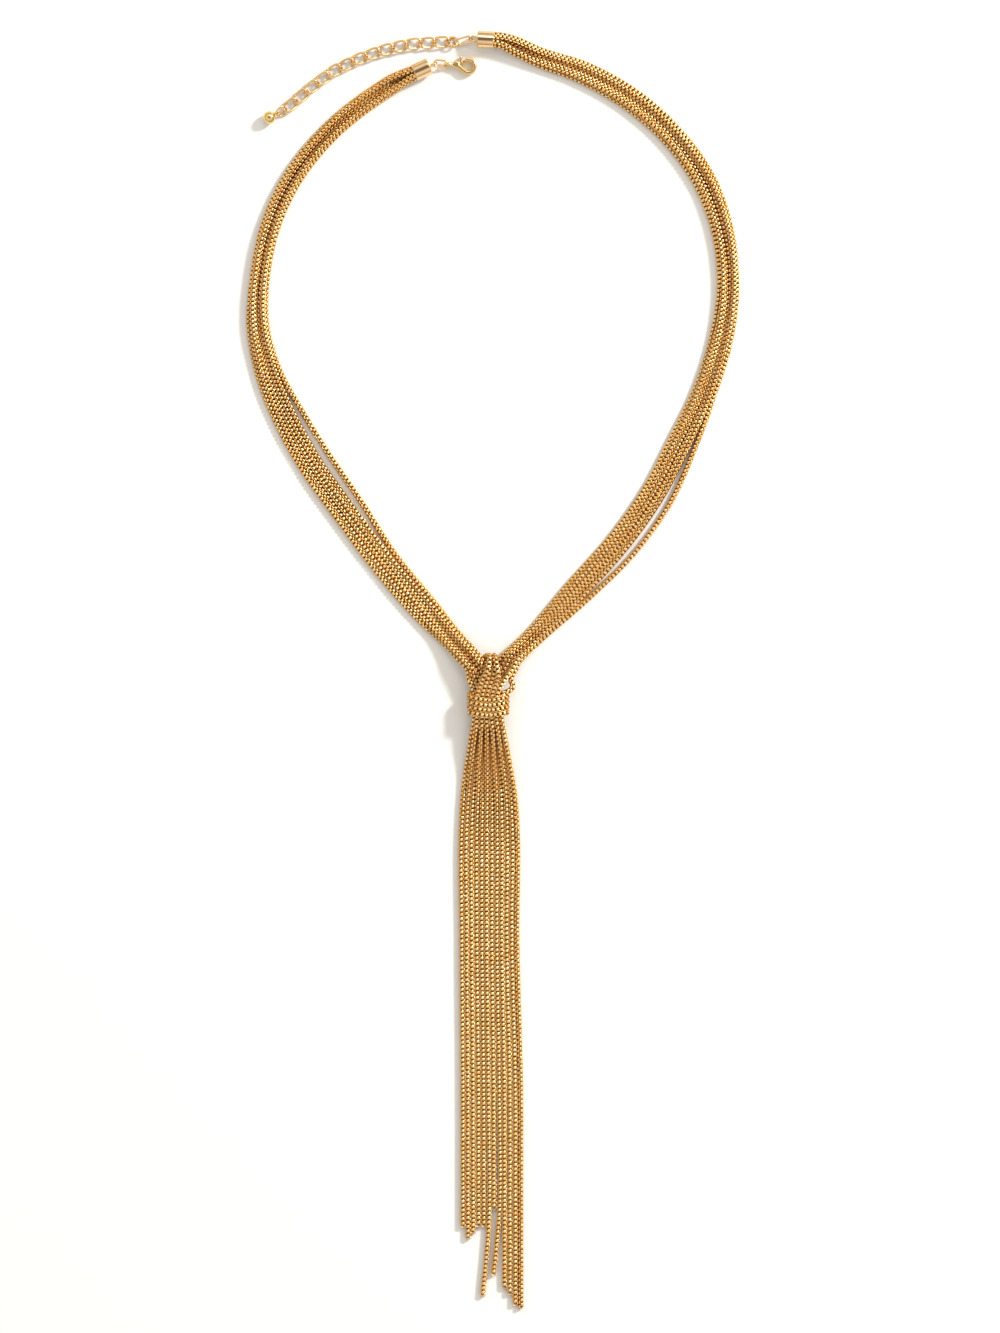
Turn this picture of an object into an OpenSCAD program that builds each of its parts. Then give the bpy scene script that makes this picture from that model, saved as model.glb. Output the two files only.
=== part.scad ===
// Tassel necklace, laid flat as it is photographed. Two bundles of six fine box chains run
// from two end caps round the neck, meet in one knot at the breast and hang on as a tassel.
// One cap carries a lobster clasp, the other an extender of curb links with an end bead.
// +X is to the right, +Y towards the clasp, +Z up from the surface that the necklace lies on.

/* [Box chains] */
// Thickness of one box chain
strand_w = 1.35; // [1.2:0.01:1.4]
// Gap left between two chains that lie side by side
strand_gap = 0.1; // [0.05:0.01:0.14]
// Spacing of the chains where they lie spread in the tassel
tassel_pitch = 1.5; // [1.48:0.01:1.6]

/* [End caps] */
// Outer diameter of an end cap
cap_d = 5; // [4.95:0.05:5.6]
// Length of an end cap
cap_len = 5; // [4:0.1:6]
// Wall of an end cap
cap_wall = 0.25; // [0.2:0.01:0.27]
// Thickness of the closed end of a cap
cap_end = 0.7; // [0.5:0.05:1.2]
// Edge rounding of a cap
cap_edge = 0.2; // [0.1:0.01:0.24]
// Wire of the eye that is soldered to a cap
eye_wire = 0.6; // [0.5:0.05:0.65]
// Radius of that eye, to the middle of its wire
eye_r = 1.25; // [1.2:0.01:1.35]

/* [Clasp] */
// Thickness of the clasp
clasp_t = 2; // [1.8:0.1:2.4]
// Radius of the hook, to the middle of its bar
hook_r = 1.95; // [1.9:0.05:2.1]
// Width of the hook's bar
hook_bar = 0.8; // [0.6:0.05:0.9]
// Radius of the lever's pin
pin_r = 0.3; // [0.25:0.01:0.34]
// Gap between the pin and the lever, measured on the radius
pin_gap = 0.05; // [0.03:0.01:0.08]
// Thickness of the lever
lever_t = 0.8; // [0.6:0.05:1]
// Gap between the lever and the cheeks beside it
cheek_gap = 0.1; // [0.06:0.01:0.15]

/* [Extender] */
// Number of curb links
curb_count = 13; // [11:1:14]
// Distance from one curb link to the next
curb_pitch = 4.2; // [4.1:0.05:4.3]
// Wire of a curb link
curb_wire = 0.75; // [0.6:0.01:0.8]
// Width of a curb link
curb_w = 3.7; // [3.5:0.05:4]
// Outer diameter of the round ring next to the curb links
ring_d = 4; // [3.9:0.05:4.2]
// Diameter of the end bead
bead_d = 3.8; // [3.2:0.1:4.2]

/* [Hidden] */

// One chain's share of the width of a bundle
pitch = strand_w + strand_gap;
// Height of a chain that rests in the valley between two others
valley = pitch * sin(60);

// Left bundle from its cap to the knot. Columns: x, y, gather, tilt, stray.
// Gather 60 is a round bundle as in the cap, and 0 lets it down on the surface.
// Tilt 60 is four chains wide with two riding on top, tilt 0 is six chains side by side.
// Stray is how far the chain on the inner edge lies away from the others.
X = 0;
Y = 1;
GATHER = 2;
TILT = 3;
STRAY = 4;
left_route = [
    [-28.6, 176, 25, 60, 0],
    [-34, 172.6, 0, 60, 0],
    [-48.5, 161, 0, 60, 0],
    [-60, 146.5, 0, 60, 0],
    [-66.5, 132, 0, 60, 0],
    [-69.5, 117, 0, 60, 0],
    [-70, 103, 0, 50, 0],
    [-67, 89.5, 0, 30, 0],
    [-61, 75, 0, 10, 1.2],
    [-53.2, 61, 0, 0, 1.9],
    [-43.6, 47.5, 0, 0, 1.6],
    [-32, 32, 0, 0, 0.3],
    [-20, 18, 0, 15, 0]
];
// Right bundle, with the same columns
right_route = [
    [6.8, 186.8, 25, 60, 0],
    [13.4, 183.8, 0, 60, 0],
    [27.8, 178.7, 0, 50, 0],
    [42.5, 170.3, 0, 45, 0],
    [54, 160.2, 0, 45, 0],
    [63.8, 146.5, 0, 45, 0],
    [69.5, 130.5, 0, 50, 0],
    [71, 114.5, 0, 50, 0],
    [68.8, 98.5, 0, 45, 0],
    [64, 83, 0, 40, 0],
    [57.5, 68.5, 0, 20, 0.6],
    [49.5, 53, 0, 15, 1.6],
    [39, 38, 0, 15, 1.5],
    [26.5, 24, 0, 20, 0.4]
];

// Place of the knot's axis
knot_x = -1.05;
knot_y = 0;
// Layers of the knot from the surface up, in pitches
BACK = 0.51;
UNDER = 1.5;
CORE = 2.5;
TUCK = CORE + sin(60);
WRAP = TUCK + 1;

// Bundles inside the knot, in pitches from its axis.
// Columns: x, y, height, direction of the bundle's side in degrees, spacing, tilt.
KX = 0;
KY = 1;
KZ = 2;
KSIDE = 3;
KSPACE = 4;
KTILT = 5;
left_knot = [
    [-6.6, 5.3, 1.3, 222, 1, 50],
    [-4.1, 2.6, 2.3, 222, 1, 50],
    [-2.25, 0.3, CORE + 0.1, 206, 1.04, 50],
    [-1.65, -1, CORE + 0.1, 202, 1.08, 21],
    [-1.1, -2.2, CORE + 0.1, 198, 1.02, 0],
    [-0.35, -4.4, CORE, 188, 1, 0],
    [-0.25, -6.2, CORE, 180, 1, 0],
    [-0.25, -10.4, CORE, 180, 1, 0]
];
right_knot_arrival = [
    [7.9, 5.1, 0.8, 133, 1, 60],
    [4.8, 2, UNDER, 135, 1.07, 58]
];
// The four inner chains of the right bundle pass behind the left one, round it and up again.
// The place is that of their middle, and tilt lifts one of them on to its neighbours.
hitch = [
    [3.6, 1.35, UNDER, 137, 1.08, 34],
    [2.9, 0.2, UNDER, 136, 1.05, 0],
    [1.2, -1.9, UNDER, 130, 1, 0],
    [-0.8, -4, UNDER, 120, 1.04, 0],
    [-2.5, -5.9, 1.45, 104, 1.3, 0],
    [-3.55, -6.95, 1.75, 92, 1.28, 0],
    [-3.9, -7.2, 2.8, 90, 1.14, 0],
    [-3.45, -7.4, 3.85, 90, 1.06, 0],
    [-2.2, -7.7, WRAP + 0.05, 90, 1.04, 0],
    [0.2, -8, WRAP + 0.1, 90, 1.02, 0],
    [2.3, -7.75, WRAP + 0.13, 90, 1.02, 0],
    [3.55, -7.5, 4.05, 90, 1.02, 0],
    [3.95, -7.4, 3, 90, 1.02, 0],
    [3.9, -7.3, 1.9, 90, 1.02, 0],
    [3.4, -7.2, 0.85, 88, 1.02, 0],
    [2.5, -7, BACK + 0.04, 80, 1.06, 0],
    [1.4, -6.3, BACK, 55, 1.1, 0],
    [0.7, -5.1, BACK, 25, 1.08, 0],
    [0.6, -3.4, BACK, 0, 1, 0]
];
// Their way up through the eye between the two bundles and down in front, for the inner and
// the outer chain of each half, from the eye's middle. Columns: half the spread, shift, y and
// height in pitches.
SPREAD = 0;
SHIFT = 1;
EYE_Y = 2;
EYE_Z = 3;
eye_x = 0.75;
eye_y = 1.65;
eye_half = [
    [[0.5, -0.15, -1.7, 0.52], [0.5, -0.3, -0.5, 0.56], [0.53, -0.48, 0.08, 1.2],
        [0.54, 0, 0.08, 2.3], [0.52, 0.2, -0.3, 3.25], [0.5, 0.15, -1.2, 3.82],
        [0.5, 0.05, -2.6, 3.87], [0.5, -0.6, -4.5, 3.62], [0.5, -1.15, -6.1, 3.55]],
    [[1.5, -0.15, -1.2, 0.52], [1.6, -0.25, 0.1, 0.52], [0.65, -0.48, 1.2, 1.1],
        [0.54, 0, 1.1, 2.25], [0.56, 0.25, 0.8, 3.45], [0.65, 0.25, -0.05, 4.4],
        [0.9, 0.2, -1.35, 4.75], [1.4, 0, -3.1, 4.45], [1.56, -0.6, -4.7, 3.8],
        [1.5, -1.15, -6.1, 3.55]]
];
// The two outer chains of the right bundle ride over it and straight down, the outermost with
// a small slack loop at the knot's edge. Columns: x, y and height in pitches.
straight = [
    [[5.65, -0.25, 1.6], [4.95, -1.35, 2], [4.65, -2.4, 2.3], [5.3, -3.5, 2.3], [4.6, -4.5, 2.7],
        [3.3, -4.9, 3.25]],
    [[5.1, -0.05, 2.45], [4.2, -1.1, 2.75], [3.2, -2.6, 3.1], [2.2, -4.4, 3.55]]
];
right_knot_core = [
    [0.25, -5.8, TUCK, 0, 1, 0],
    [0.25, -7, TUCK, 0, 1, 0],
    [0.25, -10.4, TUCK, 0, 1, 0]
];

// Tassel below the knot. Columns: y, share of the full spread, height of the lower row.
FAN_Y = 0;
FAN_SHARE = 1;
FAN_Z = 2;
fan = [
    [-20, 0.22, 3],
    [-25, 0.42, 2.1],
    [-31, 0.66, 1.25],
    [-38, 0.88, 0.75],
    [-46, 1, 0.725]
];
tassel_x = -0.7;
// Chains of the tassel from left to right. Columns: x where the last stretch begins, y of that
// place, x and y of the end.
HANG_X = 0;
HANG_Y = 1;
END_X = 2;
END_Y = 3;
ends = [
    [-8.6, -150, -8.6, -166.8],
    [-7.05, -150, -7, -170.4],
    [-5.5, -150, -5.45, -168.6],
    [-3.95, -150, -3.9, -166.5],
    [-2.4, -150, -2.35, -166.5],
    [-0.9, -168, -2.6, -187.5],
    [0.65, -150, 0.75, -161.4],
    [2.3, -163, 0.6, -181.2],
    [3.9, -150, 3.95, -185.1],
    [5.5, -150, 5.5, -186.9],
    [7.1, -150, 7.1, -190.2],
    [8.7, -150, 8.75, -191.1]
];

// Unit vector at an angle in the plane of the surface
function heading(a) = [cos(a), sin(a), 0];
function unit(v) = v / norm(v);
function sum(v, n) = n == 0 ? v[0] : v[n] + sum(v, n - 1);

// Across and up of chain k in a bundle, in pitches from the middle of its lowest row
function lane(k, tilt, gather) =
    let (h = k < 3 ? -1 : 1,
        m = abs(k - 2.5) - 0.5,
        across = gather > 0
            ? [0.5, cos(gather), 0.5 + cos(gather)][m]
            : 0.5 + m * cos(tilt),
        up = gather > 0
            ? [0, sin(gather) + sin(60), sin(gather)][m]
            : [0, sin(tilt), 0][m])
    [h * across, up];

// Place of chain k at a station of a bundle
function berth(k, middle, side, spacing = 1, tilt = 0, gather = 0, stray = 0) =
    let (at = lane(k, tilt, gather))
    middle + heading(side) * (at[0] * pitch * spacing - (k == 0 ? stray : 0))
        + [0, 0, at[1] * pitch];

// Direction of a route at its point i, in degrees
function bearing(route, i) =
    let (a = route[max(i - 1, 0)], b = route[min(i + 1, len(route) - 1)])
    atan2(b[Y] - a[Y], b[X] - a[X]);

// Height of a bundle's lowest row: on the surface, or lifted towards the cap as it is gathered
function surface_level(gather) =
    pitch / 2 + (cap_d / 2 - valley - pitch / 2) * gather / ROUND;

// Chain k along the surface
function loop_points(k, route) = [
    for (i = [0:len(route) - 1])
        berth(k, [route[i][X], route[i][Y], surface_level(route[i][GATHER])], bearing(route, i) - 90,
            tilt = route[i][TILT], gather = route[i][GATHER], stray = route[i][STRAY])
];

// Chain k through a table of stations in the knot
function knot_points(k, table) = [
    for (row = table)
        berth(k, [knot_x, knot_y, 0] + pitch * [row[KX], row[KY], row[KZ]], row[KSIDE],
            spacing = row[KSPACE], tilt = row[KTILT])
];
function hitch_points(k) = [
    for (row = hitch)
        let (across = k < 4 ? k - 3.5 : (k - 3) * cos(row[KTILT]) - 0.5,
            up = k == 4 ? sin(row[KTILT]) : 0)
        [knot_x, knot_y, 0] + pitch * ([row[KX], row[KY], row[KZ] + up]
            + heading(row[KSIDE]) * across * row[KSPACE])
];
function eye_points(k) =
    let (h = k < 4 ? -1 : 1, m = abs(k - 3.5) - 0.5)
    [for (p = eye_half[m])
        [knot_x, knot_y, 0]
            + pitch * [eye_x + h * p[SPREAD] + p[SHIFT], eye_y + p[EYE_Y], p[EYE_Z]]];
function straight_points(k) = [for (p = straight[k]) [knot_x, knot_y, 0] + pitch * p];
// Place of right chain k among the six that come down in front, counted from the left
function slot(k) = k > 1 ? k - 2 : 5 - k;

// Chain in column j of the tassel, from the knot to its end. Even columns come from the left
// bundle and odd ones from the right one, which rides on them until the spread lets it down.
function tassel_points(j) =
    let (rides = j % 2,
        start = knot_x + (floor(j / 2) - 2.75 + rides / 2) * pitch,
        full = tassel_x + (j - 5.5) * tassel_pitch)
    concat(
        [for (row = fan)
            let (share = row[FAN_SHARE],
                gap = (1 - share) * pitch + share * 2 * tassel_pitch,
                rise = sqrt(max(pitch * pitch - gap * gap / 4, 0)))
            [(1 - share) * start + share * full, row[FAN_Y],
                max(row[FAN_Z], pitch / 2) + rides * rise]],
        [[full, -80, pitch / 2],
            [ends[j][HANG_X], -130, pitch / 2],
            [ends[j][HANG_X], ends[j][HANG_Y], pitch / 2],
            [ends[j][END_X], ends[j][END_Y], pitch / 2]]);

// Curve through points: each stretch is a cubic whose slopes come from its neighbours
function slope(p, i) =
    let (n = len(p) - 1)
    i == 0 ? unit(p[1] - p[0])
    : i == n ? unit(p[n] - p[n - 1])
    : let (a = p[i] - p[i - 1], b = p[i + 1] - p[i], la = norm(a), lb = norm(b))
        (a / la * lb + b / lb * la) / (la + lb);
function cubic(p, q, u, v, t) =
    let (d = norm(q - p), t2 = t * t, t3 = t2 * t)
    p * (2 * t3 - 3 * t2 + 1) + u * d * (t3 - 2 * t2 + t)
        + q * (3 * t2 - 2 * t3) + v * d * (t3 - t2);
function turn(u, v) = acos(min(1, max(-1, unit(u) * unit(v))));
// A stretch is cut finer the more it turns, with no ring closer to the next than the shortest
function steps(length, u, v, turn_step, shortest) =
    max(1, min(ceil(turn(u, v) / turn_step), floor(length / shortest)));
function smooth(p, turn_step, shortest) = [
    for (i = [0:len(p) - 2])
        let (u = slope(p, i),
            v = slope(p, i + 1),
            n = steps(norm(p[i + 1] - p[i]), u, v, turn_step, shortest))
        for (j = [0:n - 1]) cubic(p[i], p[i + 1], u, v, j / n),
    p[len(p) - 1]
];

// Rings of a tube along a path, each turned no more than the path turns
function ring(centre, across, along, r, sides) =
    let (other = cross(along, across))
    [for (i = [0:sides - 1])
        centre + r * (cos(360 * i / sides) * across + sin(360 * i / sides) * other)];
function chord(p, i) = unit(p[i + 1] - p[i]);
function tangent(p, i) = unit(chord(p, max(i - 1, 0)) + chord(p, min(i, len(p) - 2)));
function carried(across, along) = unit(across - (across * along) * along);
function frames(p) = [
    for (i = 0, across = carried([0, 0, 1], tangent(p, 0));
        i < len(p);
        i = i + 1, across = i < len(p) ? carried(across, tangent(p, i)) : across)
        across
];
module tube(path, r, sides) {
    side = frames(path);
    rings = len(path);
    points = [for (i = [0:rings - 1]) each ring(path[i], side[i], tangent(path, i), r, sides)];
    walls = [
        for (i = [0:rings - 2])
            for (j = [0:sides - 1])
                let (a = i * sides + j, b = i * sides + (j + 1) % sides)
                each [[a, b + sides, b], [a, a + sides, b + sides]]
    ];
    ends = [[for (j = [0:sides - 1]) j], [for (j = [sides - 1:-1:0]) (rings - 1) * sides + j]];
    polyhedron(points, concat(walls, ends));
}
// Closed ring of wire along a path whose last point meets its first
module wire_ring(path, r, sides) {
    count = len(path);
    points = [
        for (i = [0:count - 1])
            let (along = unit(path[(i + 1) % count] - path[(i + count - 1) % count]),
                across = carried(path[i] - sum(path, count - 1) / count, along))
            each ring(path[i], across, along, r, sides)
    ];
    walls = [
        for (i = [0:count - 1])
            for (j = [0:sides - 1])
                let (a = i * sides + j, b = i * sides + (j + 1) % sides, n = ((i + 1) % count) * sides)
                each [[a, n + (j + 1) % sides, b], [a, n + j, n + (j + 1) % sides]]
    ];
    polyhedron(points, walls);
}

// End caps: place of the closed end's outer face and direction from the mouth to it
cap_left_at = [-18.6, 180.6];
cap_left_turn = 24;
cap_right_at = [-4.3, 188.7];
cap_right_turn = 177;
cap_bore = cap_d / 2 - cap_wall;
// A little way out of the mouth the bundle has begun to open
mouth_lead = 1.5;
mouth_gather = 56;
// Chains in a cap lie as a round bundle
ROUND = 60;
// Point on a cap's axis, a distance back from the closed end's outer face, at chain level
function cap_point(at, turn, back) =
    [at[X] - back * cos(turn), at[Y] - back * sin(turn), cap_d / 2 - valley];
function cap_points(k, at, turn) = [
    berth(k, cap_point(at, turn, cap_end + strand_gap), turn + 90, gather = ROUND),
    berth(k, cap_point(at, turn, cap_len), turn + 90, gather = ROUND),
    berth(k, cap_point(at, turn, cap_len + mouth_lead), turn + 90, gather = mouth_gather)
];

tube_sides = 8;
turn_step = 26;
function left_strand(k) = concat(
    cap_points(k, cap_left_at, cap_left_turn),
    loop_points(k, left_route),
    knot_points(k, left_knot),
    tassel_points(2 * (5 - k)));
function right_strand(k) = concat(
    cap_points(k, cap_right_at, cap_right_turn),
    loop_points(k, right_route),
    knot_points(k, right_knot_arrival),
    k > 1 ? concat(hitch_points(k), eye_points(k)) : straight_points(k),
    knot_points(slot(k), right_knot_core),
    tassel_points(2 * slot(k) + 1));

module strand(points) {
    color("#c8933a") tube(smooth(points, turn_step, 0.6 * strand_w), strand_w / 2, tube_sides);
}

module end_cap(at, turn, roll) {
    color("#d9b064") translate([at[X], at[Y], cap_d / 2]) rotate([0, 0, turn]) {
        rotate([0, 90, 0]) rotate_extrude($fn = 48) difference() {
            translate([0, -cap_len]) union() {
                translate([0, cap_edge]) square([cap_d / 2, cap_len - 2 * cap_edge]);
                square([cap_d / 2 - cap_edge, cap_len]);
                translate([cap_d / 2 - cap_edge, cap_len - cap_edge]) circle(cap_edge, $fn = 24);
                translate([cap_d / 2 - cap_edge, cap_edge]) circle(cap_edge, $fn = 24);
            }
            translate([0, -cap_len - 1]) square([cap_bore, cap_len - cap_end + 1]);
        }
        translate([eye_r - 0.1, 0, 0]) rotate([90 + roll, 0, 0])
            rotate_extrude($fn = 48) translate([eye_r, 0]) circle(eye_wire / 2, $fn = 24);
    }
}

// Clearance of two rings that are pulled tight in each other
play = 0.1;

// Stands a piece at a place: turned about Z, its far end lifted, then rolled about its length
module placed(at, turn, lift = 0, roll = 0) {
    translate(at) rotate([0, 0, turn]) rotate([0, -lift, 0]) rotate([roll, 0, 0]) children();
}
module round_ring(r, wire) {
    color("#d9b064") rotate_extrude($fn = 48) translate([r, 0]) circle(wire / 2, $fn = 24);
}
// Oval ring of wire, its length and width measured to the middle of the wire
module oval_ring(length, width, wire) {
    straight = length - width;
    color("#d9b064") for (h = [-1, 1]) {
        translate([h * straight / 2, 0, 0]) rotate([0, 0, -90 * h])
            rotate_extrude(angle = 180, $fn = 48) translate([width / 2, 0]) circle(wire / 2, $fn = 24);
        translate([-straight / 2, h * width / 2, 0]) rotate([0, 90, 0])
            cylinder(straight, r = wire / 2, $fn = 24);
    }
}

// Jump ring between the left cap and the clasp, hanging down from the cap's eye to the clasp
clasp_ring_at = [-15.16, 181.4, 1.72];
clasp_ring_length = 4.1;
clasp_ring_width = 2;
clasp_ring_turn = -3;
clasp_ring_lift = -14;
module clasp_ring() {
    placed(clasp_ring_at, clasp_ring_turn, clasp_ring_lift)
        oval_ring(clasp_ring_length, clasp_ring_width, eye_wire);
}

// Clasp, with its tail at the origin, its nose along +X and its thickness from 0 up
clasp_at = [-13.6, 181.36, 0];
clasp_turn = -5;
tail_eye_at = [0.7, 0, 1.25];
tail_eye_r = 0.95;
pin_at = [3, 0.07];
hub_r = 0.75;
cheek_r = 0.95;
hook_end_r = 0.45;
hook_at = [6.7, -0.1];
// Where the arm runs into the hook and where the hook ends, in degrees round its middle
hook_from = -112;
hook_to = 105;
arm_from = [1.85, 0];
arm_w = 0.9;
lever_tip = [5.42, 1.37];
lever_w = 0.7;
thumb_from = [4.25, 1];
thumb_to = [4.25, 2.25];
thumb_w = 0.7;
thumb_t = 1.3;
function on_hook(a) = hook_at + hook_r * [cos(a), sin(a)];

// Bar with round ends from one point to another
module bar(from, to, w) {
    d = to - from;
    translate(from) rotate([0, 0, atan2(d[Y], d[X])]) translate([0, -w / 2]) square([norm(d), w]);
    translate(from) circle(w / 2, $fn = 36);
    translate(to) circle(w / 2, $fn = 36);
}
module hook_arc() {
    reach = 2 * hook_r;
    difference() {
        translate(hook_at) circle(hook_r + hook_bar / 2, $fn = 64);
        translate(hook_at) circle(hook_r - hook_bar / 2, $fn = 64);
        // The open side, from the end of the hook round to the arm
        polygon([hook_at,
            hook_at + reach * [cos(hook_to), sin(hook_to)],
            hook_at + reach * [cos(hook_to), sin(hook_to)] - [2 * reach, 0],
            hook_at + reach * [cos(hook_from), sin(hook_from)] - [2 * reach, 0],
            hook_at + reach * [cos(hook_from), sin(hook_from)]]);
    }
    translate(on_hook(hook_to)) circle(hook_end_r, $fn = 36);
}
// The space that the lever swings in: round its hub, and from there up to the hook
slot_outline = [[3, -0.6], [5.3, -0.65], [5.3, 2.4], [2.8, 0.9]];
slot_r = 1;
module lever_slot() {
    translate(pin_at) circle(slot_r, $fn = 48);
    polygon(slot_outline);
}
module clasp_body() {
    color("#d9b064") placed(clasp_at, clasp_turn) {
        difference() {
            union() {
                linear_extrude(clasp_t) {
                    bar(arm_from, pin_at, arm_w);
                    translate(pin_at) circle(cheek_r, $fn = 48);
                    bar(pin_at, on_hook(hook_from), arm_w);
                    hook_arc();
                }
                translate(tail_eye_at) rotate([90, 0, 0])
                    rotate_extrude($fn = 48) translate([tail_eye_r, 0]) circle(eye_wire / 2, $fn = 24);
            }
            translate([0, 0, (clasp_t - lever_t) / 2 - cheek_gap])
                linear_extrude(lever_t + 2 * cheek_gap) lever_slot();
        }
        translate(pin_at) cylinder(clasp_t, r = pin_r, $fn = 36);
    }
}
module clasp_lever() {
    color("#d9b064") placed(clasp_at, clasp_turn) {
        translate([0, 0, (clasp_t - lever_t) / 2]) linear_extrude(lever_t) difference() {
            union() {
                translate(pin_at) circle(hub_r, $fn = 48);
                bar(pin_at, lever_tip, lever_w);
            }
            translate(pin_at) circle(pin_r + pin_gap, $fn = 36);
        }
        translate([0, 0, (clasp_t - thumb_t) / 2]) linear_extrude(thumb_t)
            bar(thumb_from, thumb_to, thumb_w);
    }
}

// Rings between the right cap's eye and the curb links
extender_ring_1_at = [-8.5, 188.24, 1.78];
extender_ring_1_turn = 195;
extender_ring_1_lift = -14;
extender_ring_1_roll = -44;
extender_ring_1_length = 5.5;
extender_ring_1_width = 2.3;
extender_ring_2_at = [-11.8, 188, 1.08];
extender_ring_2_roll = 25;
module extender_ring_1() {
    placed(extender_ring_1_at, extender_ring_1_turn, extender_ring_1_lift, extender_ring_1_roll)
        oval_ring(extender_ring_1_length, extender_ring_1_width, eye_wire);
}
module extender_ring_2() {
    placed(extender_ring_2_at, 180, 0, extender_ring_2_roll)
        round_ring((ring_d - curb_wire) / 2, curb_wire);
}

// Curb link: an oval whose two ends are turned opposite ways about its length
curb_twist = 42;
curb_half = (curb_pitch + curb_wire + play) / 2;
curb_r = (curb_w - curb_wire) / 2;
curb_path = [
    for (h = [1, -1])
        for (a = [-90:30:90])
            let (x = h * (curb_half - curb_r + curb_r * cos(a)),
                y = h * curb_r * sin(a),
                roll = curb_twist * x / curb_half)
            [x, y * cos(roll), y * sin(roll)]
];
curb_z = max([for (p = curb_path) p[2]]) + curb_wire / 2;
// Middles of the curb links lie along this line, from the first ring to the bead
extender_route = [[-15.1, 188], [-24.5, 187.4], [-33, 185.4], [-40.4, 182.7], [-47.9, 179],
    [-54, 174.4], [-60.4, 168.9]];
function travel(route, s, i = 0) =
    let (d = route[i + 1] - route[i])
    s <= norm(d) || i == len(route) - 2 ? route[i] + unit(d) * s : travel(route, s - norm(d), i + 1);
function link_turn(i) =
    let (d = travel(extender_route, (i + 0.5) * curb_pitch) - travel(extender_route, (i - 0.5) * curb_pitch))
    atan2(d[Y], d[X]);
module curb_link(i) {
    middle = travel(extender_route, i * curb_pitch);
    color("#d9b064") placed([middle[X], middle[Y], curb_z], link_turn(i))
        wire_ring(curb_path, curb_wire / 2, 6);
}

// Bead ring and end bead, in line from the end of the last link
last_turn = link_turn(curb_count - 1);
last_end = travel(extender_route, (curb_count - 1) * curb_pitch)
    + (curb_half - (curb_wire + eye_wire) / 2 - 3 * play) * [cos(last_turn), sin(last_turn)];
bead_turn = 208;
bead_ring_r = 1.6;
bead_ring_lift = 12;
bead_ring_z = 1.52;
bead_ring_roll = -48;
bead_eye_wire = 0.5;
bead_eye_r = 0.7;
bead_eye_roll = 42;
bead_ring_at = last_end + bead_ring_r * [cos(bead_turn), sin(bead_turn)];
bead_eye_at = bead_ring_at
    + (bead_ring_r - (bead_eye_wire + eye_wire) / 2 - play + bead_eye_r) * [cos(bead_turn), sin(bead_turn)];
bead_at = bead_eye_at + (bead_eye_r + bead_d / 2 - 0.1) * [cos(bead_turn), sin(bead_turn)];
module bead_ring() {
    placed([bead_ring_at[X], bead_ring_at[Y], bead_ring_z], bead_turn, bead_ring_lift, bead_ring_roll)
        round_ring(bead_ring_r, eye_wire);
}
module end_bead() {
    translate([bead_at[X], bead_at[Y], bead_d / 2]) color("#d9b064") sphere(bead_d / 2, $fn = 48);
    placed([bead_eye_at[X], bead_eye_at[Y], bead_d / 2], bead_turn, 0, bead_eye_roll)
        round_ring(bead_eye_r, bead_eye_wire);
}

strand(left_strand(0));  // strand_left_1
strand(left_strand(1));  // strand_left_2
strand(left_strand(2));  // strand_left_3
strand(left_strand(3));  // strand_left_4
strand(left_strand(4));  // strand_left_5
strand(left_strand(5));  // strand_left_6
strand(right_strand(0));  // strand_right_1
strand(right_strand(1));  // strand_right_2
strand(right_strand(2));  // strand_right_3
strand(right_strand(3));  // strand_right_4
strand(right_strand(4));  // strand_right_5
strand(right_strand(5));  // strand_right_6
end_cap(cap_left_at, cap_left_turn, 0);  // end_cap_left
end_cap(cap_right_at, cap_right_turn, -45);  // end_cap_right
clasp_ring();
clasp_body();
clasp_lever();
extender_ring_1();
extender_ring_2();
for (i = [1:curb_count])
    curb_link(i - 1);
bead_ring();
end_bead();
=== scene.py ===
import math

import bmesh
import bpy
from mathutils import Matrix, Vector


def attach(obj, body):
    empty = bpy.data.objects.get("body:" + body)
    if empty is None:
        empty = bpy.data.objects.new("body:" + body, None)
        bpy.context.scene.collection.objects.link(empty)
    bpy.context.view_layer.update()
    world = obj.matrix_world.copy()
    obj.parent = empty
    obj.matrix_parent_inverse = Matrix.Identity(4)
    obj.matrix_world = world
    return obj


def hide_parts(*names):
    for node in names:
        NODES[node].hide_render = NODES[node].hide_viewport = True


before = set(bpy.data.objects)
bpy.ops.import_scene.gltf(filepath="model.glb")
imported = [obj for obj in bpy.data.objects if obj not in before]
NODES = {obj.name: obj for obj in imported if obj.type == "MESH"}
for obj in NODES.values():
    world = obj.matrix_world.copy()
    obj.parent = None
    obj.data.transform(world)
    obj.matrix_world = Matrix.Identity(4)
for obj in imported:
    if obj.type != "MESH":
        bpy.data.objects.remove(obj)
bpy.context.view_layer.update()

# The table that the necklace lies on and the place it is looked at from.
# A matt white board, photographed from straight above in soft studio light.
PHOTO_HEIGHT = 0.3999
PHOTO_MIDDLE = (0.00255, 0.00075)
CAMERA_HEIGHT = 1.6
SENSOR_WIDTH = 36
BOARD_HALF = 1.5
BOARD_TINTS = ((0, (0.85, 0.845, 0.835, 1)), (1, (0.88, 0.875, 0.865, 1)))
BOARD_TOOTH = 900

camera_data = bpy.data.cameras.new("camera")
camera_data.sensor_width = SENSOR_WIDTH
camera_data.lens = SENSOR_WIDTH * CAMERA_HEIGHT / PHOTO_HEIGHT
camera_data.clip_end = 20
camera = bpy.data.objects.new("camera", camera_data)
camera.location = (*PHOTO_MIDDLE, CAMERA_HEIGHT)
bpy.context.scene.collection.objects.link(camera)
bpy.context.scene.camera = camera


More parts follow.
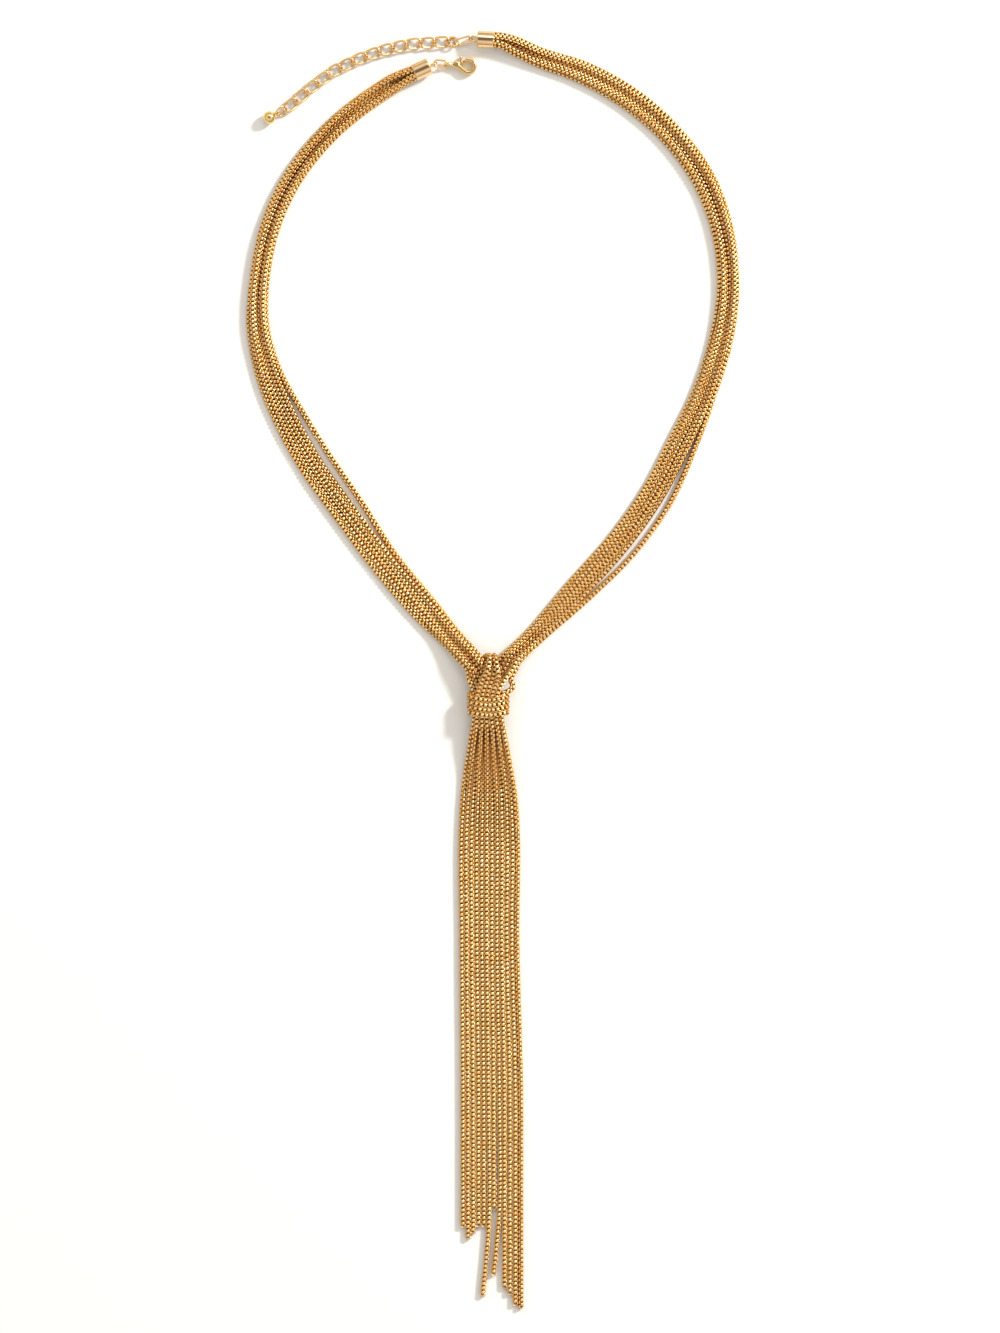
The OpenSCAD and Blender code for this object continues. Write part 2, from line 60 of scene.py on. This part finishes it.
def mesh_object(name, mesh):
    """An object at the origin for a finished mesh."""
    piece = bpy.data.objects.new(name, mesh)
    bpy.context.scene.collection.objects.link(piece)
    return piece


def node_adder(tree):
    """A call that adds a node to the tree.

    Its settings come as pairs. A socket is given by its name, or by its number as _0, _1 and so
    on, and takes a value or a link.
    """
    def add(kind, *settings, **sockets):
        node = tree.nodes.new(kind)
        for attribute, value in settings:
            setattr(node, attribute, value)
        for key, value in sockets.items():
            socket = node.inputs[int(key[1:]) if key[0] == "_" else key.replace("_", " ")]
            if isinstance(value, bpy.types.NodeSocket):
                tree.links.new(value, socket)
            else:
                socket.default_value = value
        return node

    return add


def node_material(name):
    """A new material, its tree and its Principled shader's sockets."""
    material = bpy.data.materials.new(name)
    material.use_nodes = True
    tree = material.node_tree
    return material, tree, tree.nodes["Principled BSDF"].inputs


def tone_ramp(tree, factor, tones):
    """The colour that a factor picks from these tones."""
    ramp = tree.nodes.new("ShaderNodeValToRGB")
    stops = ramp.color_ramp.elements
    while len(stops) < len(tones):
        stops.new(0.5)
    for stop, (position, colour) in zip(stops, tones):
        stop.position = position
        stop.color = colour
    tree.links.new(factor, ramp.inputs["Fac"])
    return ramp.outputs["Color"]


board_material, tree, surface = node_material("board_matt_white")
add = node_adder(tree)
surface["Roughness"].default_value = 0.9
surface["Specular IOR Level"].default_value = 0.1
place = add("ShaderNodeTexCoord")
tooth = add("ShaderNodeTexNoise", Vector=place.outputs["Object"], Scale=BOARD_TOOTH, Detail=3)
tree.links.new(tone_ramp(tree, tooth.outputs["Fac"], BOARD_TINTS), surface["Base Color"])

board_mesh = bpy.data.meshes.new("board")
board_mesh.from_pydata(
    [(x * BOARD_HALF, y * BOARD_HALF, 0) for x, y in ((-1, -1), (1, -1), (1, 1), (-1, 1))],
    [], [(0, 1, 2, 3)])
board = mesh_object("board", board_mesh)
board_mesh.materials.append(board_material)

# Studio light: a low lamp at the upper right, whose shadows fall to the lower left, and a bright
# tent that the gold mirrors, with a dark opening straight above for the camera.
TENT_BANDS = (
    (0.0, (0.54, 0.47, 0.4, 1)),
    (0.3, (0.67, 0.6, 0.52, 1)),
    (0.62, (1, 0.96, 0.88, 1)),
    (0.88, (1, 1, 0.97, 1)),
    (0.94, (0.3, 0.27, 0.25, 1)),
    (1.0, (0.22, 0.2, 0.19, 1)),
)
TENT_STRENGTH = 0.98
bpy.context.scene.view_settings.view_transform = "Standard"


def lamp(name, place, size, power, colour):
    """A round soft lamp that points at the origin."""
    light = bpy.data.lights.new(name, "AREA")
    light.shape = "DISK"
    light.size = size
    light.energy = power
    light.color = colour
    holder = bpy.data.objects.new(name, light)
    holder.location = place
    holder.rotation_euler = (-Vector(place)).to_track_quat("-Z", "Y").to_euler()
    bpy.context.scene.collection.objects.link(holder)


lamp("key_lamp", place=(2.0, 1.5, 1.55), size=0.42, power=84, colour=(1, 0.985, 0.96))
lamp("back_strip", place=(0.05, 0.95, 1.15), size=0.5, power=1.5, colour=(1, 0.99, 0.97))

tent = bpy.data.worlds.new("studio_tent")
tent.use_nodes = True
bpy.context.scene.world = tent
tree = tent.node_tree
add = node_adder(tree)
place = add("ShaderNodeTexCoord")
height = add("ShaderNodeSeparateXYZ", Vector=place.outputs["Generated"]).outputs["Z"]
cloth = tree.nodes["Background"].inputs
tree.links.new(tone_ramp(tree, height, TENT_BANDS), cloth["Color"])
cloth["Strength"].default_value = TENT_STRENGTH

# The twelve box chains: links bent from flat strip into small square frames, each turned a
# quarter against the next. They follow the middles of the tubes that stand for them in the CAD.
# Gold plated, with painted shade: full gold on the plates' outside, darker on edges and bends,
# dark brown inside the links.
MM = 0.001
LINK_PITCH = 0.66 * MM
LINK_LENGTH = 1.12 * MM
LINK_WIDTH = 1.3 * MM
STRIP_WIDTH = 0.82 * MM
STRIP_THICKNESS = 0.24 * MM
LINK_JITTER = 0.05
# Painted shade: the chain's colour runs from dark brown, for the shade inside the links, to full
# gold on the plates' outside.
CHAIN_PAINTED_SHADE_TONES = (
    (0.0, (0.24, 0.09, 0.014, 1)),
    (0.35, (0.6, 0.28, 0.06, 1)),
    (0.62, (1, 0.59, 0.18, 1)),
    (1.0, (1, 0.76, 0.4, 1)),
)
WARM_PLATING = (0.97, 0.82, 0.58, 1)
GLANCING_GOLD = (1, 0.75, 0.4, 1)
# The share of full gold that the strip's edges keep through the painted shade.
EDGE_SHADE_FACTOR = 0.8
PLATE_SHARPNESS = 6
OUTSIDE_REACH = 0.1 * MM

# Handling marks, on every plated piece: a tone that clouds a little, and fine scratches that
# run mostly one way. The noise is darkest and palest near these two values.
NOISE_ENDS = (0.3, 0.7)
SCRATCH_TURN = (0.4, 0.3, 0.7)
SCRATCH_STRETCH = (1, 9, 4)

handling = bpy.data.node_groups.new("handling_marks", "ShaderNodeTree")
face = handling.interface
face.new_socket("Vector", in_out="INPUT", socket_type="NodeSocketVector")
for name, value in (("Cloud scale", 200), ("Scratch scale", 2500)):
    scale = face.new_socket(name, in_out="INPUT", socket_type="NodeSocketFloat")
    scale.default_value = value
for name in ("Cloud", "Scratches"):
    face.new_socket(name, in_out="OUTPUT", socket_type="NodeSocketFloat")
add = node_adder(handling)
given = add("NodeGroupInput").outputs
cloud = add("ShaderNodeTexNoise", Vector=given["Vector"], Scale=given["Cloud scale"], Detail=3)
drawn = add("ShaderNodeMapping", Vector=given["Vector"],
            Rotation=SCRATCH_TURN, Scale=SCRATCH_STRETCH)
scratch = add("ShaderNodeTexNoise",
              Vector=drawn.outputs["Vector"], Scale=given["Scratch scale"], Detail=2)
add("NodeGroupOutput", Cloud=cloud.outputs["Fac"], Scratches=scratch.outputs["Fac"])


def plated_metal(name, smoothest, roughest, **scales):
    """A metal whose gloss follows its scratches, and the marks for what else follows them.

    Scales are those of the marks where a metal's own differ from the usual ones.
    """
    material, tree, surface = node_material(name)
    add = node_adder(tree)
    surface["Metallic"].default_value = 1
    place = add("ShaderNodeTexCoord")
    marks = add("ShaderNodeGroup", ("node_tree", handling),
                Vector=place.outputs["Object"], **scales).outputs
    gloss = add("ShaderNodeMapRange", Value=marks["Scratches"],
                From_Min=NOISE_ENDS[0], From_Max=NOISE_ENDS[1], To_Min=smoothest, To_Max=roughest)
    tree.links.new(gloss.outputs["Result"], surface["Roughness"])
    return material, tree, surface, marks


chain_gold, tree, surface, marks = plated_metal("chain_gold", smoothest=0.22, roughest=0.36)
add = node_adder(tree)
surface["Specular Tint"].default_value = GLANCING_GOLD
# The painted shade stored on the link faces, turned into colour.
outer = add("ShaderNodeAttribute", ("attribute_name", "outer"))
link_tone = add("ShaderNodeAttribute", ("attribute_name", "link_tone"))
warm = add("ShaderNodeMix", ("data_type", "RGBA"), ("blend_type", "MULTIPLY"),
           Factor=link_tone.outputs["Fac"],
           A=tone_ramp(tree, outer.outputs["Fac"], CHAIN_PAINTED_SHADE_TONES), B=WARM_PLATING)
tree.links.new(warm.outputs["Result"], surface["Base Color"])


def maker_tree(name, start, sizes, seeded=False):
    """An empty Geometry Nodes tree that makes a chain: what it starts from and its sizes."""
    tree = bpy.data.node_groups.new(name, "GeometryNodeTree")
    face = tree.interface
    face.new_socket(start, in_out="INPUT", socket_type="NodeSocketGeometry")
    for size in sizes:
        face.new_socket(size, in_out="INPUT", socket_type="NodeSocketFloat")
    if seeded:
        face.new_socket("Seed", in_out="INPUT", socket_type="NodeSocketInt")
    face.new_socket("Material", in_out="INPUT", socket_type="NodeSocketMaterial")
    face.new_socket("Chain", in_out="OUTPUT", socket_type="NodeSocketGeometry")
    return tree


def sum_adder(add):
    """A call that adds a sum of its terms and gives the result."""
    def reckon(operation, *terms):
        sockets = {f"_{i}": term for i, term in enumerate(terms)}
        return add("ShaderNodeMath", ("operation", operation), **sockets).outputs[0]

    return reckon


def box_chain_tree():
    """Square links along a course."""
    tree = maker_tree("box_chain", "Course", (
        "Link pitch", "Link length", "Link width", "Strip width", "Strip thickness",
        "Roll", "Jitter"), seeded=True)
    add = node_adder(tree)
    reckon = sum_adder(add)
    given = add("NodeGroupInput").outputs
    # One link: a strip swept round a rectangle with its corners cut
    outline = add("GeometryNodeCurvePrimitiveQuadrilateral",
                  Width=given["Link width"], Height=given["Link length"])
    corner = add("GeometryNodeFilletCurve", ("mode", "POLY"),
                 Curve=outline.outputs["Curve"], Radius=given["Strip thickness"], Count=1)
    strip = add("GeometryNodeCurvePrimitiveQuadrilateral",
                Width=given["Strip thickness"], Height=given["Strip width"])
    link = add("GeometryNodeCurveToMesh",
               Curve=corner.outputs["Curve"], Profile_Curve=strip.outputs["Curve"])
    # How much of full gold each face of the strip keeps through the painted shade: 1 on the
    # outside of its two plates, an eighth on the bends beside them, the edge share on its edges
    # and nothing inside
    place = add("GeometryNodeInputPosition")
    normal = add("GeometryNodeInputNormal").outputs["Normal"]
    outward = add("ShaderNodeVectorMath", ("operation", "DOT_PRODUCT"),
                  _0=place.outputs[0], _1=normal)
    is_outside = reckon("GREATER_THAN", outward.outputs["Value"], OUTSIDE_REACH)
    across = add("ShaderNodeSeparateXYZ", Vector=normal).outputs
    plate = reckon("POWER", reckon("ABSOLUTE", across["X"]), PLATE_SHARPNESS)
    plate_shade_factor = reckon("MULTIPLY", plate, is_outside)
    share = reckon("MULTIPLY_ADD", reckon("ABSOLUTE", across["Z"]), EDGE_SHADE_FACTOR, plate_shade_factor)
    marked_link = add("GeometryNodeStoreNamedAttribute", ("domain", "FACE"),
                      Geometry=link.outputs["Mesh"], Name="outer", Value=share)
    upright = add("GeometryNodeTransform",
                  Geometry=marked_link.outputs[0], Rotation=(math.pi / 2, 0, 0))
    # Places along the course, each link a quarter turn on and a little off true
    spots = add("GeometryNodeCurveToPoints", ("mode", "LENGTH"),
                Curve=given["Course"], Length=given["Link pitch"])
    index = add("GeometryNodeInputIndex")
    roll = reckon("MULTIPLY_ADD", index.outputs["Index"], math.pi / 2, given["Roll"])
    along = add("ShaderNodeCombineXYZ", Z=roll)
    rolled = add("FunctionNodeEulerToRotation", Euler=along.outputs[0])
    turned = add("FunctionNodeRotateRotation", ("rotation_space", "LOCAL"),
                 Rotation=spots.outputs["Rotation"], Rotate_By=rolled.outputs[0])
    least = add("ShaderNodeVectorMath", ("operation", "SCALE"),
                _0=(-1, -1, -1), Scale=given["Jitter"])
    most = add("ShaderNodeVectorMath", ("operation", "SCALE"),
               _0=(1, 1, 1), Scale=given["Jitter"])
    wobble = add("FunctionNodeRandomValue", ("data_type", "FLOAT_VECTOR"),
                 Min=least.outputs[0], Max=most.outputs[0], Seed=given["Seed"])
    wobbled = add("FunctionNodeEulerToRotation", Euler=wobble.outputs[0])
    loose = add("FunctionNodeRotateRotation", ("rotation_space", "LOCAL"),
                Rotation=turned.outputs[0], Rotate_By=wobbled.outputs[0])
    tone = add("FunctionNodeRandomValue", ("data_type", "FLOAT"), Seed=given["Seed"])
    marked = add("GeometryNodeStoreNamedAttribute", ("domain", "POINT"),
                 Geometry=spots.outputs["Points"], Name="link_tone", Value=tone.outputs[1])
    links = add("GeometryNodeInstanceOnPoints", Points=marked.outputs[0],
                Instance=upright.outputs[0], Rotation=loose.outputs[0])
    solid = add("GeometryNodeRealizeInstances", Geometry=links.outputs[0])
    dressed = add("GeometryNodeSetMaterial",
                  Geometry=solid.outputs[0], Material=given["Material"])
    add("NodeGroupOutput", Chain=dressed.outputs[0])
    return tree


def set_maker(piece, group, **values):
    """The tree as a modifier on the piece, with its inputs set by their identifiers."""
    identifiers = {item.name: item.identifier
                   for item in group.interface.items_tree if item.in_out == "INPUT"}
    maker = piece.modifiers.new(group.name, "NODES")
    maker.node_group = group
    for name, value in values.items():
        maker[identifiers[name.replace("_", " ")]] = value


def plain_mesh(piece, name):
    """The piece as its modifiers make it, as a plain mesh object."""
    depsgraph = bpy.context.evaluated_depsgraph_get()
    mesh = bpy.data.meshes.new_from_object(piece.evaluated_get(depsgraph), depsgraph=depsgraph)
    bpy.data.objects.remove(piece)
    return mesh_object(name, mesh)


SAME_CORNER = 1e-6
FIRST_RING = 2 * MM
COURSE_STEP = 0.7 * MM
BEND_SOFTENING = 2
LINK_LIFT = 0.12 * MM
LOWEST_MIDDLE = 0.89 * MM


def tube_course(node):
    """The middles of a CAD tube's rings, from the tassel's end to the cap."""
    tube = bmesh.new()
    tube.from_mesh(NODES[node].data)
    bmesh.ops.remove_doubles(tube, verts=tube.verts, dist=SAME_CORNER)
    end = min(corner.co.y for corner in tube.verts)
    ring = [corner for corner in tube.verts if corner.co.y < end + FIRST_RING]
    seen = set(ring)
    middles = []
    while ring:
        middles.append(sum((corner.co for corner in ring), Vector()) / len(ring))
        following = []
        for corner in ring:
            for edge in corner.link_edges:
                other = edge.other_vert(corner)
                if other not in seen:
                    seen.add(other)
                    following.append(other)
        ring = following
    tube.free()
    return middles


def smooth_course(middles, step):
    """A curve through the middles, with a point about every step, its tight bends softened."""
    last = len(middles) - 1
    slopes = []
    for i in range(last + 1):
        before = middles[i] - middles[max(i - 1, 0)]
        after = middles[min(i + 1, last)] - middles[i]
        if i == 0:
            slopes.append(after.normalized())
        elif i == last:
            slopes.append(before.normalized())
        else:
            back, on = before.length, after.length
            slopes.append((before / back * on + after / on * back) / (back + on))
    points = []
    for i in range(last):
        start, end = middles[i], middles[i + 1]
        length = (end - start).length
        pieces = max(1, round(length / step))
        for j in range(pieces):
            t = j / pieces
            points.append(
                start * (2 * t**3 - 3 * t**2 + 1) + slopes[i] * length * (t**3 - 2 * t**2 + t)
                + end * (3 * t**2 - 2 * t**3) + slopes[i + 1] * length * (t**3 - t**2))
    points.append(middles[-1])
    for _ in range(BEND_SOFTENING):
        points = [points[0], *(
            (points[i - 1] + 2 * points[i] + points[i + 1]) / 4 for i in range(1, len(points) - 1)
        ), points[-1]]
    for point in points:
        point.z = max(point.z + LINK_LIFT, LOWEST_MIDDLE)
    return points


# Above the knot and a little way below it the chains lie on their edges, with both of a link
# pair's plates in sight. In the wrap, which only the right ones make, and further down the
# tassel they lie flat. Heights on the table in metres, turns in radians.
CHAINS_A_SIDE = 6
EDGE_TURN = math.pi / 4
TASSEL_FLAT = (-0.062, -0.024)
WRAP_BELOW = (-0.019, -0.016)
WRAP_ABOVE = (0.0, 0.008)
STRAY_TURN = 0.45
STRAY_LENGTH = 0.013
STRAY_PHASE = 2.1
CHAIN_ROLL = (0.1, -0.12, 0.05, 0.12, -0.08, 0.1, 0.7, 0.05, -0.1, 0.08, -0.05, 0.12)


def eased(value, ends):
    """How far a value has come from the first end to the second, 0 to 1, eased at both."""
    share = min(max((value - ends[0]) / (ends[1] - ends[0]), 0), 1)
    return share * share * (3 - 2 * share)


def chain_turn(y, number):
    """How far a chain is turned about its length at a height on the table."""
    turn = EDGE_TURN * eased(y, TASSEL_FLAT)
    if number >= CHAINS_A_SIDE:
        turn *= 1 - eased(y, WRAP_BELOW) * (1 - eased(y, WRAP_ABOVE))
    wave = math.sin(y / STRAY_LENGTH + STRAY_PHASE * number)
    return turn + STRAY_TURN * wave * eased(y, WRAP_ABOVE)


box_chain = box_chain_tree()
for number in range(2 * CHAINS_A_SIDE):
    side = "left" if number < CHAINS_A_SIDE else "right"
    node = f"strand_{side}_{number % CHAINS_A_SIDE + 1}"
    points = smooth_course(tube_course(node), COURSE_STEP)
    curve = bpy.data.curves.new(node, "CURVE")
    curve.dimensions = "3D"
    curve.twist_mode = "Z_UP"
    spline = curve.splines.new("POLY")
    spline.points.add(len(points) - 1)
    for spot, point in zip(spline.points, points):
        spot.co = (*point, 1)
        spot.tilt = chain_turn(point.y, number)
    course = bpy.data.objects.new(f"course_{node}", curve)
    bpy.context.scene.collection.objects.link(course)
    set_maker(
        course, box_chain, Link_pitch=LINK_PITCH, Link_length=LINK_LENGTH, Link_width=LINK_WIDTH,
        Strip_width=STRIP_WIDTH, Strip_thickness=STRIP_THICKNESS, Roll=CHAIN_ROLL[number],
        Jitter=LINK_JITTER, Seed=number, Material=chain_gold)
    chain = plain_mesh(course, f"box_chain_{side}_{number % CHAINS_A_SIDE + 1}")
    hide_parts(node)
    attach(chain, "necklace")

# The extender: curb links bent from flattened round wire, each with its ends turned opposite
# ways so that it lies flat in its neighbours, ground flat on top and underneath and plated.
CURB_COUNT = 13
CURB_HALF_LENGTH = 2.525 * MM
CURB_BEND_RADIUS = 1.475 * MM
CURB_WIRE_WIDTH = 0.84 * MM
CURB_WIRE_HEIGHT = 0.68 * MM
CURB_SIDE_SPREAD = 0.32
CURB_TWIST = math.radians(42)
CURB_FLAT = 1.12 * MM
OVAL_POINTS = 40
LINK_POINTS = 56
WIRE_SIDES = 12
SCRATCH_RELIEF = 0.08
SCRATCH_DEPTH = 0.02 * MM


def polished_metal(name, deep, pale, smoothest, roughest, cloud_scale):
    """Plated and tumbled metal: its tone clouds a little, and rubbing has left faint scratches."""
    material, tree, surface, marks = plated_metal(
        name, smoothest, roughest, Cloud_scale=cloud_scale)
    add = node_adder(tree)
    tone = tone_ramp(tree, marks["Cloud"], tuple(zip(NOISE_ENDS, (deep, pale))))
    tree.links.new(tone, surface["Base Color"])
    relief = add("ShaderNodeBump",
                 Height=marks["Scratches"], Strength=SCRATCH_RELIEF, Distance=SCRATCH_DEPTH)
    tree.links.new(relief.outputs["Normal"], surface["Normal"])
    return material


link_gold = polished_metal(
    "link_gold", deep=(0.78, 0.5, 0.2, 1), pale=(0.9, 0.64, 0.32, 1),
    smoothest=0.14, roughest=0.28, cloud_scale=260)


def curb_chain_tree():
    """Twisted curb links at places that carry their heading."""
    tree = maker_tree("curb_chain", "Places", (
        "Half length", "Bend radius", "Wire width", "Wire height", "Side spread", "Twist", "Flat"))
    add = node_adder(tree)
    reckon = sum_adder(add)
    given = add("NodeGroupInput").outputs
    # A circle drawn out to an oval of even points
    circle = add("GeometryNodeCurvePrimitiveCircle",
                 Resolution=OVAL_POINTS, Radius=given["Bend radius"])
    place = add("GeometryNodeInputPosition")
    spot = add("ShaderNodeSeparateXYZ", _0=place.outputs[0]).outputs
    reach = reckon("SUBTRACT", given["Half length"], given["Bend radius"])
    shift = reckon("MULTIPLY", reckon("SIGN", spot["X"]), reach)
    drawn = add("GeometryNodeSetPosition", Geometry=circle.outputs["Curve"],
                Offset=add("ShaderNodeCombineXYZ", X=shift).outputs[0])
    even = add("GeometryNodeResampleCurve", Curve=drawn.outputs[0], Count=LINK_POINTS)
    # Wire that is pressed wider at the link's sides
    side_share = reckon("DIVIDE", reckon("ABSOLUTE", spot["Y"]), given["Bend radius"])
    spread = reckon("MULTIPLY_ADD", side_share, given["Side spread"], 1.0)
    pressed = add("GeometryNodeSetCurveRadius", Curve=even.outputs[0], Radius=spread)
    # Its ends turned opposite ways about its length
    share = reckon("DIVIDE", spot["X"], given["Half length"])
    turn = reckon("MULTIPLY", share, given["Twist"])
    across = reckon("MULTIPLY", spot["Y"], reckon("COSINE", turn))
    rise = reckon("MULTIPLY", spot["Y"], reckon("SINE", turn))
    twisted_place = add("ShaderNodeCombineXYZ", X=spot["X"], Y=across, Z=rise)
    twisted = add("GeometryNodeSetPosition",
                  Geometry=pressed.outputs[0], Position=twisted_place.outputs[0])
    # Flattened wire along it, ground flat on top and underneath
    wire = add("GeometryNodeCurvePrimitiveCircle", Resolution=WIRE_SIDES, Radius=1.0)
    size = add("ShaderNodeCombineXYZ", X=given["Wire height"], Y=given["Wire width"], Z=1.0)
    half = add("ShaderNodeVectorMath", ("operation", "SCALE"), _0=size.outputs[0], Scale=0.5)
    oval = add("GeometryNodeTransform", Geometry=wire.outputs["Curve"], Scale=half.outputs[0])
    swept = add("GeometryNodeCurveToMesh",
                Curve=twisted.outputs[0], Profile_Curve=oval.outputs[0])
    kept = add("ShaderNodeClamp", Value=spot["Z"],
               Min=reckon("MULTIPLY", given["Flat"], -1.0), Max=given["Flat"])
    ground_place = add("ShaderNodeCombineXYZ", X=spot["X"], Y=spot["Y"], Z=kept.outputs[0])
    ground = add("GeometryNodeSetPosition",
                 Geometry=swept.outputs[0], Position=ground_place.outputs[0])
    smooth = add("GeometryNodeSetShadeSmooth", Geometry=ground.outputs[0])
    # One at each place, turned along the chain
    heading = add("GeometryNodeInputNamedAttribute", ("data_type", "FLOAT"), Name="link_turn")
    turned = add("ShaderNodeCombineXYZ", Z=heading.outputs[0])
    facing = add("FunctionNodeEulerToRotation", Euler=turned.outputs[0])
    links = add("GeometryNodeInstanceOnPoints", Points=given["Places"],
                Instance=smooth.outputs[0], Rotation=facing.outputs[0])
    solid = add("GeometryNodeRealizeInstances", Geometry=links.outputs[0])
    dressed = add("GeometryNodeSetMaterial",
                  Geometry=solid.outputs[0], Material=given["Material"])
    add("NodeGroupOutput", Chain=dressed.outputs[0])
    return tree


link_middles = []
link_turns = []
for number in range(1, CURB_COUNT + 1):
    corners = [corner.co for corner in NODES[f"curb_link_{number}"].data.vertices]
    lowest = min(corner.z for corner in corners)
    highest = max(corner.z for corner in corners)
    middle = sum(corners, Vector()) / len(corners)
    link_middles.append(Vector((middle.x, middle.y, (lowest + highest) / 2)))
    xx = sum((c.x - middle.x) ** 2 for c in corners)
    yy = sum((c.y - middle.y) ** 2 for c in corners)
    xy = sum((c.x - middle.x) * (c.y - middle.y) for c in corners)
    link_turns.append(math.atan2(2 * xy, xx - yy) / 2)
places_mesh = bpy.data.meshes.new("curb_places")
places_mesh.from_pydata(link_middles, [], [])
turns = places_mesh.attributes.new("link_turn", "FLOAT", "POINT")
turns.data.foreach_set("value", link_turns)
places = mesh_object("curb_places", places_mesh)
set_maker(
    places, curb_chain_tree(), Half_length=CURB_HALF_LENGTH, Bend_radius=CURB_BEND_RADIUS,
    Wire_width=CURB_WIRE_WIDTH, Wire_height=CURB_WIRE_HEIGHT, Side_spread=CURB_SIDE_SPREAD,
    Twist=CURB_TWIST, Flat=CURB_FLAT, Material=link_gold)
curb_links = plain_mesh(places, "curb_links")
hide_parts(*(f"curb_link_{number}" for number in range(1, CURB_COUNT + 1)))
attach(curb_links, "necklace")

# Jump rings of round wire, bent closed and plated with the chain, between the caps and the
# clasp, the extender and the bead.
RING_GRAIN = 0.06
RING_RUBS = 6
LOOSE_CORNER = 1e-4
RUB_SHARE = 0.5


def tumbled(node, name, grain, passes, material, regrown=0):
    """A CAD node's own shape with its edges rubbed round, as casting and tumbling leave it.

    Grain is the finest detail kept and regrown makes up for what the rubbing takes, in mm.
    """
    mesh = NODES[node].data.copy()
    mesh.transform(Matrix.Scale(1 / MM, 4))
    shell = bmesh.new()
    shell.from_mesh(mesh)
    bmesh.ops.remove_doubles(shell, verts=shell.verts, dist=LOOSE_CORNER)
    shell.to_mesh(mesh)
    shell.free()
    piece = mesh_object(f"rough_{name}", mesh)
    remesh = piece.modifiers.new("remesh", "REMESH")
    remesh.mode = "VOXEL"
    remesh.voxel_size = grain
    rub = piece.modifiers.new("rub", "SMOOTH")
    rub.factor = RUB_SHARE
    rub.iterations = passes
    if regrown:
        swell = piece.modifiers.new("swell", "DISPLACE")
        swell.strength = regrown
        swell.mid_level = 0
    piece = plain_mesh(piece, name)
    piece.data.transform(Matrix.Scale(MM, 4))
    for corner in piece.data.vertices:
        corner.co.z = max(corner.co.z, 0)
    piece.data.materials.clear()
    piece.data.materials.append(material)
    piece.data.shade_smooth()
    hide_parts(node)
    return piece


for node in ("clasp_ring", "extender_ring_1", "extender_ring_2", "bead_ring"):
    wire_ring = tumbled(node, f"wire_{node}", RING_GRAIN, RING_RUBS, link_gold)
    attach(wire_ring, "necklace")

# End caps: drawn brass cups over the chains' ends, plated and polished like a mirror, with a
# wire eye soldered to each closed end.
CAP_GRAIN = 0.09
CAP_RUBS = 5
finding_gold = polished_metal(
    "finding_gold", deep=(0.79, 0.53, 0.27, 1), pale=(0.88, 0.63, 0.36, 1),
    smoothest=0.07, roughest=0.17, cloud_scale=150)
for side in ("left", "right"):
    cup = tumbled(f"end_cap_{side}", f"drawn_cap_{side}", CAP_GRAIN, CAP_RUBS, finding_gold)
    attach(cup, "necklace")

# The lobster clasp: a cast body and its thumb lever, which turns on a riveted pin. Both are
# tumbled smooth before plating, so they shine less than the caps.
CLASP_GRAIN, CLASP_RUBS, CLASP_REGROWN = 0.07, 60, 0.2
LEVER_GRAIN, LEVER_RUBS, LEVER_REGROWN = 0.06, 30, 0.07
clasp_gold = polished_metal(
    "clasp_gold", deep=(0.82, 0.56, 0.24, 1), pale=(0.93, 0.67, 0.33, 1),
    smoothest=0.22, roughest=0.34, cloud_scale=200)
clasp = tumbled(
    "clasp_body", "cast_clasp", CLASP_GRAIN, CLASP_RUBS, clasp_gold, regrown=CLASP_REGROWN)
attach(clasp, "necklace")
thumb_lever = tumbled(
    "clasp_lever", "cast_lever", LEVER_GRAIN, LEVER_RUBS, clasp_gold, regrown=LEVER_REGROWN)
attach(thumb_lever, "clasp_lever")

# The end bead: a ball with a small wire eye soldered on, the yellowest of the polished pieces.
# It weights the extender's end and keeps it from slipping through the clasp.
BEAD_GRAIN = 0.08
BEAD_RUBS = 6
bead_gold = polished_metal(
    "bead_gold", deep=(0.78, 0.57, 0.22, 1), pale=(0.87, 0.66, 0.31, 1),
    smoothest=0.12, roughest=0.24, cloud_scale=180)
bead = tumbled("end_bead", "ball_end", BEAD_GRAIN, BEAD_RUBS, bead_gold)
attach(bead, "necklace")
